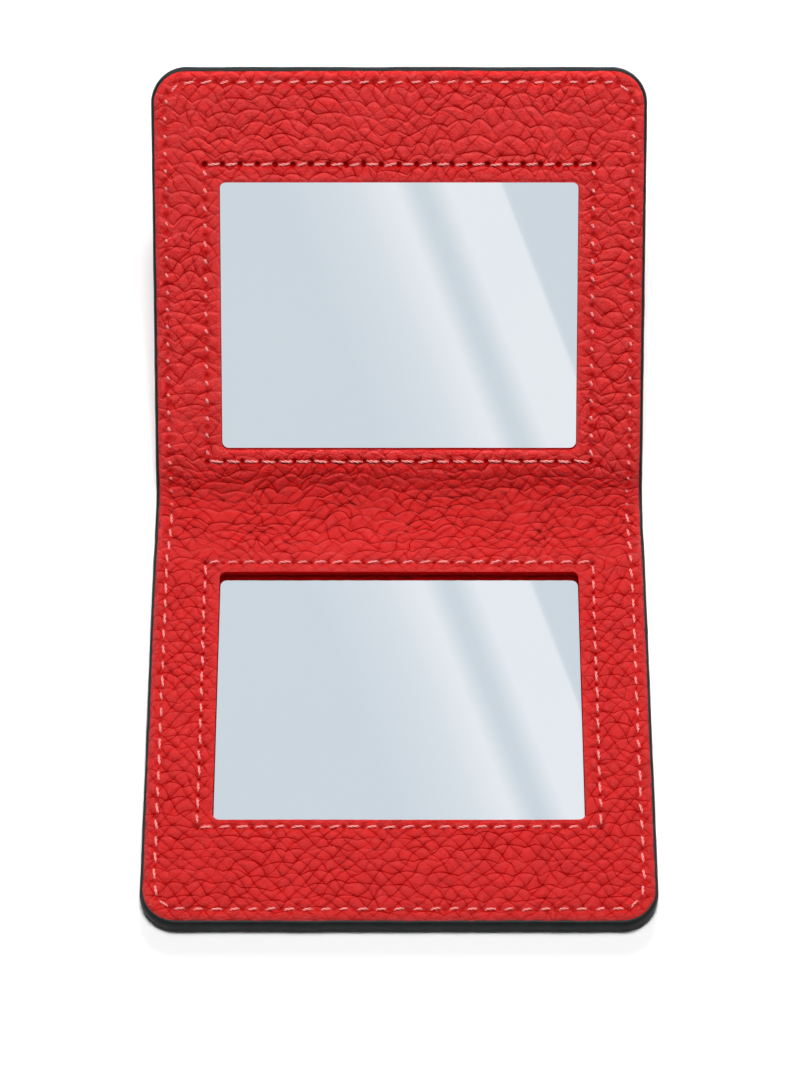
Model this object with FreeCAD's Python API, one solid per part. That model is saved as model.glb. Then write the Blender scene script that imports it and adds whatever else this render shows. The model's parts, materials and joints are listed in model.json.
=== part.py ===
# Folding leather compact: two stiff leaves joined by a soft spine, with one mirror in each leaf.
# Millimetres. X runs along the fold, the front leaf lies flat towards -Y, the back leaf stands up behind.
# The origin is the middle of the front leaf's underside, between its painted end and the fold's mid-line.
import FreeCAD, Part
import math
import os

from FreeCAD import Rotation, Vector

# Overall form
overall_width = 75.0  # along the fold, over the painted edges
leaf_length = 69.5  # from the fold's mid-line to the painted end of a leaf
corner_radius = 5.1  # outer corners, over the painted edge
opening_angle = 139.0  # degrees between the two linings, as the compact stands
closed_gap = 0.8  # between the two linings when the compact is shut

# Layers, from the outside in
cover_thickness = 0.9
backing_thickness = 0.5
spacer_thickness = 1.0
lining_thickness = 1.2

# Painted edge
edge_bulge = 0.5  # how far the domed paint stands out from the cut layers

# Fold
bend_reach = 2.2  # from a fold's axis to where the leather runs straight again
board_taper = 2.5  # length over which the boards are skived down to nothing at the spine

# Window and mirror
window_start = 11.0  # from the fold's mid-line
side_border = 10.3  # leather between the window and the painted edge, at each side
end_border = 17.0  # leather between the window and the leaf's painted end
window_radius = 1.3
mirror_lip = 1.2  # mirror hidden under the lining on each side
mirror_radius = 2.0
mirror_seamed_edge = 0.2  # small ground chamfer that takes the sharpness off the glass
mirror_clearance = 0.15  # round the mirror, in the spacer frame
tape_thickness = 0.1
tape_inset = 1.5  # from the mirror's edge to the tape's

# Seams
seam_inset = 2.2  # perimeter seam, from the painted edge
window_seam_offset = 2.0  # window seam, from the window's edge
window_seam_radius = 1.6
stitch_pitch = 2.65
stitch_length = 1.75
stitch_slant = 7.0  # degrees off the seam's line
thread_width = 0.45
thread_height = 0.25
thread_top_share = 0.6  # flat top of a stitch, as a share of its width
groove_width = 1.1  # channel that keeps the outer stitches off the table
groove_depth = 0.3

# Modelling values
cut_overrun = 2.0
points_per_stitch = 8
same_place = 1e-6

# Sizes that follow from the ones above
board_top = cover_thickness + backing_thickness + spacer_thickness
leaf_thickness = board_top + lining_thickness
spine_thickness = cover_thickness + lining_thickness
fold_angle = 180.0 - opening_angle
fold_axis_offset = leaf_thickness + closed_gap / 2 - cover_thickness / 2  # each axis, from the mid-line
fold_axis_height = cover_thickness / 2  # the leather folds about the middle of the cover
bend_radius = bend_reach / math.tan(math.radians(fold_angle) / 2)
spine_reach = fold_axis_offset + bend_reach  # where the spine ends and a leaf begins
taper_end = spine_reach + board_taper
cut_width = overall_width - 2 * edge_bulge  # the layers, under the paint
cut_length = leaf_length - edge_bulge
cut_radius = corner_radius - edge_bulge
window_width = overall_width - 2 * side_border
window_length = leaf_length - window_start - end_border
mirror_width = window_width + 2 * mirror_lip
mirror_start = window_start - mirror_lip
mirror_end = window_start + window_length + mirror_lip
mirror_thickness = spacer_thickness - tape_thickness
seam_half_width = overall_width / 2 - seam_inset
seam_end = leaf_length - seam_inset
seam_radius = corner_radius - seam_inset
front_leaf_middle = Vector(0, leaf_length / 2, 0)

ALONG_FOLD = Vector(1, 0, 0)
UP = Vector(0, 0, 1)
DOWN = Vector(0, 0, -1)


# Leaf layers: each is made for the front leaf, with Y = 0 on the fold's mid-line and the leaf towards -Y
def plate(width, near, far, bottom, thickness, far_radius, near_radius=0):
    """A flat plate from near to far ahead of the mid-line, with rounded upright corners."""
    shape = Part.makeBox(width, far - near, thickness, Vector(-width / 2, -far, bottom))
    for radius, end in ((far_radius, far), (near_radius, near)):
        if radius:
            corners = [edge for edge in shape.Edges if is_upright_at(edge, -end)]
            shape = shape.makeFillet(radius, corners)
    return shape


def is_upright_at(edge, y):
    box = edge.BoundBox
    return box.YLength < same_place and box.XLength < same_place and abs(box.YMin - y) < same_place


def across_fold(points, width):
    """A prism along the fold, from the (y, z) points of its section."""
    corners = [Vector(-width / 2, y, z) for y, z in points]
    return Part.Face(Part.makePolygon(corners + corners[:1])).extrude(Vector(width, 0, 0))


def above_taper(low, high):
    """What lies over the slope that climbs from low at the spine to high at the boards' full height."""
    ceiling = leaf_thickness + cut_overrun
    return across_fold(
        [
            (-spine_reach, low),
            (-taper_end, high),
            (-taper_end, ceiling),
            (-spine_reach + cut_overrun, ceiling),
            (-spine_reach + cut_overrun, low),
        ],
        overall_width + cut_overrun,
    )


def cover():
    panel = plate(cut_width, spine_reach, cut_length, 0, cover_thickness, cut_radius)
    outer = plate(
        2 * seam_half_width + groove_width,
        spine_reach - cut_overrun,
        seam_end + groove_width / 2,
        -cut_overrun,
        groove_depth + cut_overrun,
        seam_radius + groove_width / 2,
    )
    inner = plate(
        2 * seam_half_width - groove_width,
        spine_reach - 2 * cut_overrun,
        seam_end - groove_width / 2,
        -cut_overrun,
        groove_depth + cut_overrun,
        seam_radius - groove_width / 2,
    )
    return panel.cut(outer.cut(inner))


def backing_board():
    board = plate(cut_width, spine_reach, cut_length, cover_thickness, backing_thickness, cut_radius)
    return board.cut(above_taper(cover_thickness, board_top))


def spacer_frame():
    bottom = cover_thickness + backing_thickness
    frame = plate(cut_width, spine_reach, cut_length, bottom, spacer_thickness, cut_radius)
    aperture_radius = mirror_radius + mirror_clearance
    aperture = plate(
        mirror_width + 2 * mirror_clearance,
        mirror_start - mirror_clearance,
        mirror_end + mirror_clearance,
        bottom - cut_overrun,
        spacer_thickness + 2 * cut_overrun,
        aperture_radius,
        aperture_radius,
    )
    return frame.cut(above_taper(cover_thickness, board_top)).cut(aperture)


def mirror_tape():
    return plate(
        mirror_width - 2 * tape_inset,
        mirror_start + tape_inset,
        mirror_end - tape_inset,
        cover_thickness + backing_thickness,
        tape_thickness,
        mirror_radius,
        mirror_radius,
    )


def mirror():
    bottom = board_top - mirror_thickness
    glass = plate(
        mirror_width,
        mirror_start,
        mirror_end,
        bottom,
        mirror_thickness,
        mirror_radius,
        mirror_radius,
    )
    rim = [edge for edge in glass.Edges if abs(edge.BoundBox.ZMin - board_top) < same_place]
    return glass.makeChamfer(mirror_seamed_edge, rim)


def lining():
    sheet = across_fold(
        [
            (-spine_reach, cover_thickness),
            (-taper_end, board_top),
            (-cut_length, board_top),
            (-cut_length, leaf_thickness),
            (-taper_end, leaf_thickness),
            (-spine_reach, spine_thickness),
        ],
        cut_width,
    )
    outline = plate(cut_width, spine_reach, cut_length, 0, leaf_thickness, cut_radius)
    window = plate(
        window_width,
        window_start,
        window_start + window_length,
        board_top - cut_overrun,
        lining_thickness + 2 * cut_overrun,
        window_radius,
        window_radius,
    )
    return sheet.common(outline).cut(window)


def u_path(half_width, near, far, radius, height):
    """The way round a leaf's three free sides: two straight sides, two corner arcs and the end."""
    turn = radius * (1 - math.sqrt(0.5))
    points = [
        Vector(-half_width, -near, height),
        Vector(-half_width, radius - far, height),
        Vector(turn - half_width, turn - far, height),
        Vector(radius - half_width, -far, height),
        Vector(half_width - radius, -far, height),
        Vector(half_width - turn, turn - far, height),
        Vector(half_width, radius - far, height),
        Vector(half_width, -near, height),
    ]
    return Part.Wire(
        [
            Part.makeLine(points[0], points[1]),
            Part.Arc(points[1], points[2], points[3]).toShape(),
            Part.makeLine(points[3], points[4]),
            Part.Arc(points[4], points[5], points[6]).toShape(),
            Part.makeLine(points[6], points[7]),
        ]
    )


def dome_section(x, y, height, side):
    """The painted edge's section at the start of its run: a chord on the cut layers and a crown outside."""
    low = Vector(x, y, 0)
    high = Vector(x, y, height)
    crown = Vector(x + side * edge_bulge, y, height / 2)
    return Part.Face(Part.Wire([Part.Arc(low, crown, high).toShape(), Part.makeLine(high, low)]))


def carried(section, steps):
    """A section carried along straight runs (vectors) and turns (centre, axis, degrees), as one solid."""
    lengths = []
    for step in steps:
        if isinstance(step, Vector):
            lengths.append(section.extrude(step))
            section = section.translated(step)
        else:
            lengths.append(section.revolve(*step))
            section = section.rotated(*step)
    return lengths[0].multiFuse(lengths[1:])


def edge_paint():
    half_width = cut_width / 2
    turn_x = half_width - cut_radius
    turn_y = cut_radius - cut_length
    side_run = cut_length - cut_radius - spine_reach
    bead = carried(
        dome_section(-half_width, -spine_reach, leaf_thickness, -1),
        [
            Vector(0, -side_run, 0),
            (Vector(-turn_x, turn_y, 0), UP, 90),
            Vector(2 * turn_x, 0, 0),
            (Vector(turn_x, turn_y, 0), UP, 90),
            Vector(0, side_run, 0),
        ],
    )
    return bead.cut(above_taper(spine_thickness, leaf_thickness))


# Stitches: short flat-based bars, laid along a seam with a gap at each needle hole
def stitch(start, end, outward):
    """One stitch between two needle holes, on the surface that faces outward, turned by its slant."""
    middle = (start + end) / 2
    along = Rotation(outward, stitch_slant).multVec((end - start).normalize())
    across = along.cross(outward).normalize()
    proud = across.cross(along).normalize() * thread_height
    base = middle - along * (stitch_length / 2)
    half = across * (thread_width / 2)
    top = half * thread_top_share
    corners = [base - half, base + half, base + top + proud, base - top + proud]
    return Part.Face(Part.makePolygon(corners + corners[:1])).extrude(along * stitch_length)


def stitch_run(points, facing):
    """Stitches along points on a surface, lifted clear where it bulges between two holes."""
    run = []
    for first in range(0, len(points) - 1, points_per_stitch):
        span = points[first : first + points_per_stitch + 1]
        chord = span[-1] - span[0]
        outward = facing(chord)
        bulges = []
        for i, point in enumerate(span):
            on_chord = span[0] + chord * (i / points_per_stitch)
            bulges.append((point - on_chord).dot(outward))
        lift = outward * max(bulges)
        run.append(stitch(span[0] + lift, span[-1] + lift, outward))
    return run


def points_along(path):
    stitch_count = round(path.Length / stitch_pitch)
    return path.discretize(Number=stitch_count * points_per_stitch + 1)


def facing_up(chord):
    return UP


def facing_down(chord):
    return DOWN


def on_lining(points):
    """Points dropped on to the lining, which is level on the boards and slopes down to the spine."""
    dropped = []
    for point in points:
        climb_share = min(max((-point.y - spine_reach) / board_taper, 0), 1)
        height = spine_thickness + climb_share * (leaf_thickness - spine_thickness)
        dropped.append(Vector(point.x, point.y, height))
    return dropped


def perimeter_stitches():
    inner_path = u_path(seam_half_width, spine_reach, seam_end, seam_radius, leaf_thickness)
    outer_path = u_path(seam_half_width, spine_reach, seam_end, seam_radius, groove_depth)
    inner = stitch_run(on_lining(points_along(inner_path)), facing_up)
    outer = stitch_run(points_along(outer_path), facing_down)
    return Part.makeCompound(inner + outer)


def window_stitches():
    near = window_start - window_seam_offset
    far = window_start + window_length + window_seam_offset
    width = window_width + 2 * window_seam_offset
    inside_seam = plate(width, near, far, 0, leaf_thickness, window_seam_radius, window_seam_radius)
    path = inside_seam.slice(UP, leaf_thickness / 2)[0]
    return Part.makeCompound(stitch_run(on_lining(points_along(path)), facing_up))


LEAF_PIECES = {
    "cover": cover,
    "backing_board": backing_board,
    "spacer_frame": spacer_frame,
    "mirror_tape": mirror_tape,
    "mirror": mirror,
    "lining": lining,
    "edge_paint": edge_paint,
    "window_stitches": window_stitches,
    "perimeter_stitches": perimeter_stitches,
}


# Spine: flat from the front leaf to the back fold, then bent up to meet the back leaf
def spine_point(angle, depth):
    """(y, z) on the back bend at a turn in degrees, at a depth inward from the cover's outside."""
    radius = bend_radius + fold_axis_height - depth
    y = fold_axis_offset - bend_reach + radius * math.sin(math.radians(angle))
    z = fold_axis_height + bend_radius - radius * math.cos(math.radians(angle))
    return y, z


def spine_path(x, depth):
    """The spine's line at one depth: straight, then the bend's arc."""
    start = Vector(x, -spine_reach, depth)
    bend, halfway, end = [Vector(x, *spine_point(share * fold_angle, depth)) for share in (0, 0.5, 1)]
    return [Part.makeLine(start, bend), Part.Arc(bend, halfway, end).toShape()]


def spine_band(outer_depth, inner_depth, low_x, high_x):
    """A layer of the spine between two depths."""
    outer = spine_path(low_x, outer_depth)
    inner = spine_path(low_x, inner_depth)
    ends = [
        Part.makeLine(outer[-1].lastVertex().Point, inner[-1].lastVertex().Point),
        Part.makeLine(inner[0].firstVertex().Point, outer[0].firstVertex().Point),
    ]
    section = Part.Face(Part.Wire(Part.__sortEdges__(outer + inner + ends)))
    return section.extrude(Vector(high_x - low_x, 0, 0))


def spine_cover():
    band = spine_band(0, cover_thickness, -cut_width / 2, cut_width / 2)
    for side in (-1, 1):
        low_x = side * seam_half_width - groove_width / 2
        groove = spine_band(-cut_overrun, groove_depth, low_x, low_x + groove_width)
        band = band.cut(groove)
    return band


def spine_lining():
    return spine_band(cover_thickness, spine_thickness, -cut_width / 2, cut_width / 2)


def spine_edge_paint():
    bend_start = fold_axis_offset - bend_reach
    bend_centre = Vector(0, bend_start, fold_axis_height + bend_radius)
    beads = []
    for side in (-1, 1):
        section = dome_section(side * cut_width / 2, -spine_reach, spine_thickness, side)
        straight = Vector(0, spine_reach + bend_start, 0)
        beads.append(carried(section, [straight, (bend_centre, ALONG_FOLD, fold_angle)]))
    return Part.makeCompound(beads)


def off_spine_lining(chord):
    return ALONG_FOLD.cross(chord).normalize()


def off_spine_cover(chord):
    return chord.cross(ALONG_FOLD).normalize()


def spine_stitches():
    run = []
    for side in (-1, 1):
        for depth, facing in ((spine_thickness, off_spine_lining), (groove_depth, off_spine_cover)):
            path = Part.Wire(spine_path(side * seam_half_width, depth))
            run += stitch_run(points_along(path), facing)
    return Part.makeCompound(run)


SPINE_PIECES = {
    "cover": spine_cover,
    "lining": spine_lining,
    "edge_paint": spine_edge_paint,
    "stitches": spine_stitches,
}


# Assembly: the back leaf is a front leaf turned about and raised on the back fold
def as_back_leaf(shape):
    fold_axis = Vector(0, fold_axis_offset, fold_axis_height)
    turned = shape.rotated(Vector(), UP, 180)
    return turned.rotated(fold_axis, ALONG_FOLD, fold_angle)


def export(name, shape):
    solids = shape.translated(front_leaf_middle).Solids
    piece = solids[0] if len(solids) == 1 else Part.makeCompound(solids)
    piece.exportStep(f"parts/{name}.step")


os.makedirs("parts", exist_ok=True)
for piece_name, make_piece in LEAF_PIECES.items():
    front_piece = make_piece()
    export(f"front_{piece_name}", front_piece)
    export(f"back_{piece_name}", as_back_leaf(front_piece))
for piece_name, make_piece in SPINE_PIECES.items():
    export(f"spine_{piece_name}", make_piece())
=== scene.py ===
import json
import math

import bpy
import numpy as np
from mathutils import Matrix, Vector


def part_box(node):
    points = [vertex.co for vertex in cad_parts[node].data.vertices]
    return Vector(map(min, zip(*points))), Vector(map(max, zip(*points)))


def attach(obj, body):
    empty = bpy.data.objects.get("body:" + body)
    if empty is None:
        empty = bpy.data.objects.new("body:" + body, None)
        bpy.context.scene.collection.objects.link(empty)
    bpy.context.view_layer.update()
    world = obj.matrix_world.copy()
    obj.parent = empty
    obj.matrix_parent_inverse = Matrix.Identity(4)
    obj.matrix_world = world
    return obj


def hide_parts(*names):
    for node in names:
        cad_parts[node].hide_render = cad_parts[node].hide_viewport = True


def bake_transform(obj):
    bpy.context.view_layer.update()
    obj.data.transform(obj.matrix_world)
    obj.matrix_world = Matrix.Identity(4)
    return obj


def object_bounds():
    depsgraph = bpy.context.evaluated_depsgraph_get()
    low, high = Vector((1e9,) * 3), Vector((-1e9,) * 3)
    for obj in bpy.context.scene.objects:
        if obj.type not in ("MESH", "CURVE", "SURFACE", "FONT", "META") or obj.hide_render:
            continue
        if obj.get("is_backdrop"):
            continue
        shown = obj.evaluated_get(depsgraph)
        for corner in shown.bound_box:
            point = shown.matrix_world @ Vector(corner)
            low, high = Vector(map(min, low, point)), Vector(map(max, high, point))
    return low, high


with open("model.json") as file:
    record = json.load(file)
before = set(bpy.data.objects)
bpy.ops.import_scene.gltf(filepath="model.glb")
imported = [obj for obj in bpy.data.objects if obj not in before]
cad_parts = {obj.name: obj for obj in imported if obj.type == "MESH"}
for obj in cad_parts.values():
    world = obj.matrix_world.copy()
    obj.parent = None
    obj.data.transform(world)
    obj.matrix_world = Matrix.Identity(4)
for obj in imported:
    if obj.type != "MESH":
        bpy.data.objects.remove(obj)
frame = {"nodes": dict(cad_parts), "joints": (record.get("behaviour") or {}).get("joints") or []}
cad_low, cad_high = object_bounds()


# Outer cover
# One sheet of red pebbled leather, wrapped round both leaves, that folds between them as the spine.
# It is bonded to the boards, and a groove is pressed in it so that the outer seam stays off the table.
# Sizes are in millimetres, which this turns into metres
MM = 0.001
front_fold, back_fold = frame["joints"]
mid_line = (back_fold["pos_m"][1] + front_fold["pos_m"][1]) / 2 / MM
axis_offset = (back_fold["pos_m"][1] - front_fold["pos_m"][1]) / 2 / MM
axis_height = back_fold["pos_m"][2] / MM
fold_angle = math.radians(-back_fold["range_deg"][0])
cover_low, cover_high = (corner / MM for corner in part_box("front_cover"))
cover_thickness = cover_high.z
cut_half_width = cover_high.x
cut_end = mid_line - cover_low.y
cut_radius = 5.0
straight_middle = 0.05
bend_reach = axis_offset - straight_middle
bend_radius = bend_reach / math.tan(fold_angle / 2)
seam_inset = 1.7
seam_radius = 3.3
seam_half_width = cut_half_width - seam_inset
seam_end = cut_end - seam_inset


def fold_turn(s):
    """How far the leather has turned up, in radians, at a distance s past the fold's mid-line."""
    return fold_angle * np.clip((s - axis_offset + bend_reach) / (2 * bend_reach), 0, 1)


def folded(flat):
    """Metres at rest for flat leather in millimetres: x along the fold, s past its mid-line and
    d above the outside of the cover."""
    x, s, d = flat[..., 0], flat[..., 1], flat[..., 2]
    bent = np.clip(s, axis_offset - bend_reach, axis_offset + bend_reach)
    turn = fold_turn(s)
    reach = bend_radius + axis_height - d
    y = axis_offset - bend_reach + reach * np.sin(turn) + (s - bent) * np.cos(turn)
    z = axis_height + bend_radius - reach * np.cos(turn) + (s - bent) * np.sin(turn)
    return np.stack([x, y + mid_line, z], axis=-1) * MM


def mesh_piece(name, points, faces, corner_normals=None):
    """A mesh object from points in metres and arrays of faces, smooth but for its sharp corners."""
    corners = np.concatenate([np.asarray(f).ravel() for f in faces]).astype(np.int32)
    totals = np.concatenate([np.full(len(f), np.asarray(f).shape[1]) for f in faces])
    mesh = bpy.data.meshes.new(name)
    mesh.vertices.add(len(points))
    mesh.vertices.foreach_set("co", points.astype(np.float32).ravel())
    mesh.loops.add(len(corners))
    mesh.loops.foreach_set("vertex_index", corners)
    mesh.polygons.add(len(totals))
    mesh.polygons.foreach_set("loop_start", (np.cumsum(totals) - totals).astype(np.int32))
    mesh.update(calc_edges=True)
    mesh.set_sharp_from_angle(angle=math.radians(60))
    if corner_normals is not None:
        rest = np.zeros((len(corners) - len(corner_normals), 3))
        mesh.normals_split_custom_set(np.concatenate([corner_normals, rest]))
    piece = bpy.data.objects.new(name, mesh)
    bpy.context.scene.collection.objects.link(piece)
    return piece


def lines_between(stops, step):
    """Grid lines that pass through every stop, about a step apart."""
    lines = [stops[:1]]
    for low, high in zip(stops[:-1], stops[1:]):
        lines.append(np.linspace(low, high, max(2, round((high - low) / step) + 1))[1:])
    return np.concatenate(lines)


def round_outer_corners(x, s):
    """The same grid with its four outer corners drawn in to the cut radius."""
    past_x = np.clip((np.abs(x) - cut_half_width + cut_radius) / cut_radius, 0, None)
    past_s = np.clip((np.abs(s) - cut_end + cut_radius) / cut_radius, 0, None)
    drawn_x = cut_radius * past_x * (1 - np.sqrt(1 - past_s**2 / 2))
    drawn_s = cut_radius * past_s * (1 - np.sqrt(1 - past_x**2 / 2))
    return x - np.sign(x) * drawn_x, s - np.sign(s) * drawn_s


def to_rounded_box(x, s, half_width, near, far, radius):
    """Millimetres to the outline of a rounded box from near to far along s, negative inside it."""
    over_x = np.abs(x) - half_width + radius
    over_s = np.abs(s - (near + far) / 2) - (far - near) / 2 + radius
    outside = np.hypot(np.maximum(over_x, 0), np.maximum(over_s, 0))
    return outside + np.minimum(np.maximum(over_x, over_s), 0) - radius


def soft_noise(x, s, size, seed):
    """Smooth random field from -1 to 1, with features of that size in millimetres."""
    knots = 128
    lattice = np.random.default_rng(seed).uniform(-1, 1, (knots, knots))
    column = np.floor(x / size).astype(int)
    row = np.floor(s / size).astype(int)
    across = x / size - column
    along = s / size - row
    across = across * across * (3 - 2 * across)
    along = along * along * (3 - 2 * along)
    next_column = (column + 1) % knots
    next_row = (row + 1) % knots
    column = column % knots
    row = row % knots
    near = lattice[column, row] * (1 - across) + lattice[next_column, row] * across
    far = lattice[column, next_row] * (1 - across) + lattice[next_column, next_row] * across
    return near * (1 - along) + far * along


def scale_rows(x, s, wide, tall, arch, seed):
    """Rows of a grain like overlapping scales: their count, whole at every arched rim, and the height
    of the row at each point in millimetres."""
    shift = np.random.default_rng(seed).uniform(-0.3, 0.3, 256)
    rows_each_way = 3
    far_off = 9.0
    row = np.floor(s / tall).astype(int)
    count = row - rows_each_way - 1.0
    above = np.full(x.shape, far_off)
    below = np.full(x.shape, far_off)
    for step in range(-rows_each_way, rows_each_way + 1):
        at = row + step
        # Each row of scales takes its own line of the noise
        sway = soft_noise(x, at * 31.7, 7.0, seed + 1)
        swell = soft_noise(x, at * 17.3, 9.0, seed + 2)
        turn = x / wide + 0.5 * at + shift[at % len(shift)] + 0.3 * sway
        crest = arch * (1 + 0.35 * swell) * np.abs(np.cos(math.pi * turn)) ** 0.9
        rim = tall * (at + crest) - s
        count = count + (rim <= 0)
        above = np.where(rim > 0, np.minimum(above, rim), above)
        below = np.where(rim > 0, below, np.minimum(below, -rim))
    return count + below / (above + below), above + below


def grain_at(x, s, flatter, seed):
    """Pebbled leather at each point: its height, about 0 on the pebbles, the counts of its three families
    of creases, whole on every crease, and how deep each is marked. One family is the rows of arched
    scales, and two slant across them. flatter goes from 0 for a lively grain to 1 for a calm one."""
    scale_width = 4.2
    scale_height = 2.0
    slant = 1.1
    slant_gap = 1.8
    loose = 1 - 0.3 * flatter
    arch = 0.42 - 0.12 * flatter
    wander_x = x + loose * soft_noise(x, s, 9.0, seed) + 0.3 * soft_noise(x, s, 2.6, seed + 1)
    wander_s = s + 1.1 * loose * soft_noise(x, s, 9.0, seed + 2) + 0.3 * soft_noise(x, s, 2.4, seed + 3)
    rows, row_height = scale_rows(wander_x, wander_s, scale_width, scale_height, arch, seed + 4)
    strength = 0.8 + 0.05 * flatter + (0.65 - 0.2 * flatter) * soft_noise(x, s, 2.6, seed + 7)
    families = [rows]
    marks = [np.clip(strength, 0, 1)]
    for slope, number in ((slant, 10), (-slant, 20)):
        bend = soft_noise(wander_x, wander_s, 4.0, seed + number)
        bend = bend + 0.4 * soft_noise(wander_x, wander_s, 1.5, seed + number + 1)
        along = (wander_s + slope * wander_x) / math.hypot(1, slope)
        patches = soft_noise(x, s, 2.3, seed + number + 2)
        strength = 0.75 + 0.2 * flatter + (0.65 - 0.1 * flatter) * patches
        families.append(along / slant_gap + (0.38 - 0.11 * flatter) * bend)
        marks.append(np.clip(strength, 0, 1))
    net = np.stack(families, axis=-1)
    marked = np.stack(marks, axis=-1)
    up_row = rows - np.floor(rows)
    lens = np.minimum(row_height / 2, 1.2) * up_row**0.9 * (1 - up_row) ** 0.6
    from_slant = slant_gap * np.abs(net - np.round(net))[..., 1:]
    sunk = np.sum(marked[..., 1:] * np.clip(1 - from_slant / 0.9, 0, 1) ** 2, axis=-1)
    height = (0.32 - 0.04 * flatter) * lens - (0.1 + 0.05 * flatter) * sunk
    height = height + 0.03 * soft_noise(x, s, 0.8, seed + 8)
    return height - 0.14 + 0.06 * flatter, net, marked


def pebble_relief(x, s, flatter, seed):
    """The grain at every point of a grid, with its slopes along x and s after its height."""
    nudge = 0.05
    steepest = 1.2
    height, net, marked = grain_at(x, s, flatter, seed)
    slope_x = (grain_at(x + nudge, s, flatter, seed)[0] - height) / nudge
    slope_s = (grain_at(x, s + nudge, flatter, seed)[0] - height) / nudge
    slope_x = np.clip(slope_x, -steepest, steepest)
    slope_s = np.clip(slope_s, -steepest, steepest)
    return height, slope_x, slope_s, net, marked


def grid_normals(points):
    """Unit normals of a grid of points, by rows and columns, that face up from the lining."""
    normals = np.cross(np.gradient(points, axis=1), np.gradient(points, axis=0))
    return normals / np.linalg.norm(normals, axis=-1, keepdims=True)


def carry(piece, key, rows):
    """Stores a number or a vector for each point of a piece, one to a row, for its finish to read."""
    kind, field = ("FLOAT", "value") if rows.shape[1] == 1 else ("FLOAT_VECTOR", "vector")
    stored = piece.data.attributes.new(key, kind, "POINT")
    stored.data.foreach_set(field, rows.ravel())


def half_sheet(name, face, normals, back_d, fields, side, faces_up, window=None):
    """One half of a leather sheet as a closed mesh: its fine visible face, its cut walls and plain back.
    face, normals, back_d and fields have a value for each grid point of both halves, and side is -1 for
    the front half and 1 for the back. window is the rows and then the columns that bound its opening."""
    middle = int(np.argmin(np.abs(face[:, 0, 1])))
    rows = slice(0, middle + 1) if side < 0 else slice(middle, None)
    face, normals, back_d = face[rows], normals[rows], back_d[rows]
    tall, wide = back_d.shape
    count = tall * wide
    index = np.arange(count).reshape(tall, wide)
    quads = np.stack([index[:-1, :-1], index[:-1, 1:], index[1:, 1:], index[1:, :-1]], axis=-1)
    kept = np.ones(quads.shape[:2], bool)
    low, high, left, right = -1, -1, 0, 0
    if window is not None:
        low, high, left, right = window
        low = low - rows.start
        high = high - rows.start
        kept[low:high, left:right] = False
    quads = quads[kept]
    if not faces_up:
        quads = quads[:, ::-1]

    # Cut walls go down from every edge that only one quad has
    edges = np.concatenate([quads[:, [n, (n + 1) % 4]] for n in range(4)])
    keys = edges[:, 0] * count + edges[:, 1]
    rim = edges[~np.isin(keys, edges[:, 1] * count + edges[:, 0])]
    used = np.unique(quads)
    rim_points = np.unique(rim)
    place = np.full(count, -1)
    place[used] = np.arange(len(used))
    below = np.full(count, -1)
    below[rim_points] = len(used) + np.arange(len(rim_points))
    walls = np.stack([place[rim[:, 0]], below[rim[:, 0]], below[rim[:, 1]], place[rim[:, 1]]], axis=-1)

    # The back is a strip for each row, between the feet of the walls
    strips = []
    for row in range(tall - 1):
        spans = [(0, wide)]
        if low <= row < high:
            spans = [(0, left + 1), (right, wide)]
        for first, last in spans:
            near = below[index[row, first:last]]
            far = below[index[row + 1, first:last]]
            ring = np.concatenate([far, near[::-1]])
            ring = ring[ring >= 0]
            strips.append(ring[None] if faces_up else ring[None, ::-1])

    flat = face.reshape(-1, 3)
    under = flat.copy()
    under[:, 2] = back_d.ravel()
    flat = np.concatenate([flat[used], under[rim_points]])
    shown = normals.reshape(-1, 3)[quads].reshape(-1, 3) * (1 if faces_up else -1)
    piece = mesh_piece(name, folded(flat), [place[quads], walls, *strips], shown)
    cut = np.zeros(len(piece.data.polygons), np.int32)
    cut[len(quads):] = 1
    piece.data.polygons.foreach_set("material_index", cut)
    carry(piece, "lie", flat)
    points = np.concatenate([used, rim_points])
    for key, field in fields.items():
        carry(piece, key, field[rows].reshape(count, -1)[points])
    return piece


def bend_with_fold(piece, side):
    """Bakes a half piece's placement into its points, the same way for either side."""
    if side < 0:
        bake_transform(piece)
    else:
        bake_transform(piece)


def node(tree, kind, sockets=None, **settings):
    """A shader node with its settings, and with values or other nodes' outputs in its sockets. A socket goes
    by number where names repeat: in a Mix, 0 is the share, 2 and 3 the numbers, 6 and 7 the colours."""
    made = tree.nodes.new("ShaderNode" + kind)
    for key, value in settings.items():
        setattr(made, key, value)
    for key, value in (sockets or {}).items():
        if isinstance(value, bpy.types.NodeSocket):
            tree.links.new(value, made.inputs[key])
        else:
            made.inputs[key].default_value = value
    return made


def noise_over(tree, place, scale, detail, roughness=0.5, distortion=0.0):
    """A mottling over a place, which varies about 0.5."""
    sockets = {"Vector": place, "Scale": scale, "Detail": detail}
    sockets |= {"Roughness": roughness, "Distortion": distortion}
    return node(tree, "TexNoise", sockets).outputs["Fac"]


def two_tones(tree, value, dark, pale, low=0.0, high=1.0):
    """A colour that goes from dark to pale while a value goes from low to high."""
    ramp = node(tree, "ValToRGB", {"Fac": value})
    for element, stop, colour in zip(ramp.color_ramp.elements, (low, high), (dark, pale)):
        element.position = stop
        element.color = (*colour, 1)
    return ramp.outputs["Color"]


def graded(tree, value, low, high, at_low, at_high, blending="LINEAR"):
    """A number that goes from at_low to at_high while a value goes from low to high."""
    sockets = {"Value": value, "From Min": low, "From Max": high, "To Min": at_low, "To Max": at_high}
    return node(tree, "MapRange", sockets, interpolation_type=blending).outputs["Result"]


def combined(tree, operation, *values):
    """A number worked out from numbers or other nodes' outputs."""
    return node(tree, "Math", dict(enumerate(values)), operation=operation).outputs[0]


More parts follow.
